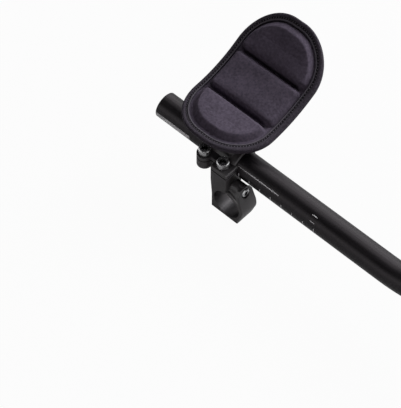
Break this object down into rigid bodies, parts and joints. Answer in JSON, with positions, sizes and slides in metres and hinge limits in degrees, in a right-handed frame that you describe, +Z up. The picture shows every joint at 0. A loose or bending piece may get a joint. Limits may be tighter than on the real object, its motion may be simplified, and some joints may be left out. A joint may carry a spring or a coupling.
{
  "type": "aero handlebar extension",
  "caption": "Clip-on aero handlebar extension: a bent black tube held in a split bracket with a round handlebar clamp below and a cupped, lobed forearm pad above.",
  "frame": {"origin": "centre of the handlebar clamp's bore, halfway along it", "axes": "+X forward along the extension tube, +Y outboard to the rider's left along the handlebar, +Z up"},
  "size_m": [0.3796, 0.1181, 0.1153],
  "materials": {
    "tube_anodised": "satin black anodised",
    "plug_rubber": "matte black",
    "bracket_casting": "satin black, fine cast grain",
    "bolt_steel": "bright stainless",
    "screw_black": "black oxide",
    "tray_plastic": "fine moulded grain",
    "hook_tape": "napped",
    "pad_fabric": "brushed knit over foam",
    "binding_tape": "woven tape with a sewn edge"
  },
  "bodies": {
    "root": {"extension_tube": "tube_anodised", "front_end_plug": "plug_rubber", "clamp_bracket": "bracket_casting", "pinch_bolt_front": "bolt_steel", "pinch_bolt_rear": "bolt_steel", "handlebar_clamp_bolt": "bolt_steel", "arm_tray": "tray_plastic", "tray_screw_front": "screw_black", "tray_screw_rear": "screw_black", "hook_strip_inner": "hook_tape", "hook_strip_middle": "hook_tape", "hook_strip_outer": "hook_tape", "arm_pad": "pad_fabric", "pad_edge_binding": "binding_tape"}
  },
  "joints": []
}
